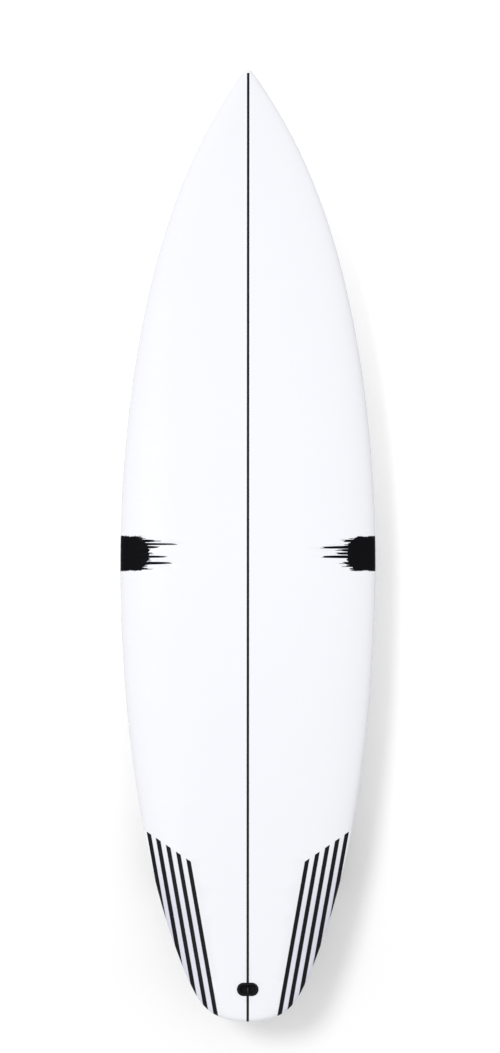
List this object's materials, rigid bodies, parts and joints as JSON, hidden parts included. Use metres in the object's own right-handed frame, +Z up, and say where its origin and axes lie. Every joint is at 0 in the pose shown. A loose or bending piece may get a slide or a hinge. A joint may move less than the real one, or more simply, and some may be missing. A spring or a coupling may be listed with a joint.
{
  "type": "surfboard",
  "caption": "Shortboard surfboard: glassed foam blank on a stringer, with carbon tail strips, a leash plug and removable fins held in their boxes by grub screws.",
  "frame": {"origin": "middle of the outline in plan, level with the lowest fin tip", "axes": "+X across the board to its right seen from the deck with the nose ahead, +Y along the board towards the nose, +Z up out of the deck"},
  "size_m": [0.492, 1.8289, 0.2268],
  "materials": {
    "foam": "matte",
    "stringer": "satin",
    "laminate": "gloss",
    "carbon": "gloss",
    "plug": "satin",
    "pin_steel": "brushed",
    "fin_box": "satin",
    "fin": "satin",
    "screw_steel": "brushed"
  },
  "bodies": {
    "board": {"foam_blank_left": "foam", "foam_blank_right": "foam", "stringer": "stringer", "deck_lamination": "laminate", "bottom_lamination": "laminate", "carbon_strip_left_1": "carbon", "carbon_strip_left_2": "carbon", "carbon_strip_left_3": "carbon", "carbon_strip_left_4": "carbon", "carbon_strip_left_5": "carbon", "carbon_strip_right_1": "carbon", "carbon_strip_right_2": "carbon", "carbon_strip_right_3": "carbon", "carbon_strip_right_4": "carbon", "carbon_strip_right_5": "carbon", "leash_plug_cup": "plug", "leash_plug_pin": "pin_steel", "fin_box_left": "fin_box", "fin_box_right": "fin_box", "fin_box_centre": "fin_box"},
    "fin_left": {"fin_left": "fin"},
    "grub_screw_left_front": {"grub_screw_left_front": "screw_steel"},
    "grub_screw_left_rear": {"grub_screw_left_rear": "screw_steel"},
    "fin_right": {"fin_right": "fin"},
    "grub_screw_right_front": {"grub_screw_right_front": "screw_steel"},
    "grub_screw_right_rear": {"grub_screw_right_rear": "screw_steel"},
    "fin_centre": {"fin_centre": "fin"},
    "grub_screw_centre_front": {"grub_screw_centre_front": "screw_steel"},
    "grub_screw_centre_rear": {"grub_screw_centre_rear": "screw_steel"}
  },
  "joints": [
    {"name": "fin_left_slide", "type": "slide", "parent": "board", "child": "fin_left", "axis": [-0.1274, -0.0789, -0.9887], "range_m": [0, 0.025]},
    {"name": "grub_screw_left_front_turn", "type": "hinge", "parent": "board", "child": "grub_screw_left_front", "pos_m": [-0.14067, -0.54768, 0.11199], "axis": [0.3854, -0.0874, -0.9186], "continuous": true},
    {"name": "grub_screw_left_rear_turn", "type": "hinge", "parent": "board", "child": "grub_screw_left_rear", "pos_m": [-0.1424, -0.60945, 0.11714], "axis": [0.3854, -0.0874, -0.9186], "continuous": true},
    {"name": "fin_right_slide", "type": "slide", "parent": "board", "child": "fin_right", "axis": [0.1274, -0.0789, -0.9887], "range_m": [0, 0.025]},
    {"name": "grub_screw_right_front_turn", "type": "hinge", "parent": "board", "child": "grub_screw_right_front", "pos_m": [0.14067, -0.54768, 0.11199], "axis": [-0.3854, -0.0874, -0.9186], "continuous": true},
    {"name": "grub_screw_right_rear_turn", "type": "hinge", "parent": "board", "child": "grub_screw_right_rear", "pos_m": [0.1424, -0.60945, 0.11714], "axis": [-0.3854, -0.0874, -0.9186], "continuous": true},
    {"name": "fin_centre_slide", "type": "slide", "parent": "board", "child": "fin_centre", "axis": [0, -0.1179, -0.993], "range_m": [0, 0.025]},
    {"name": "grub_screw_centre_front_turn", "type": "hinge", "parent": "board", "child": "grub_screw_centre_front", "pos_m": [0.00513, -0.73829, 0.13195], "axis": [0.5, -0.1021, -0.86], "continuous": true},
    {"name": "grub_screw_centre_rear_turn", "type": "hinge", "parent": "board", "child": "grub_screw_centre_rear", "pos_m": [0.00513, -0.79986, 0.13926], "axis": [0.5, -0.1021, -0.86], "continuous": true}
  ]
}
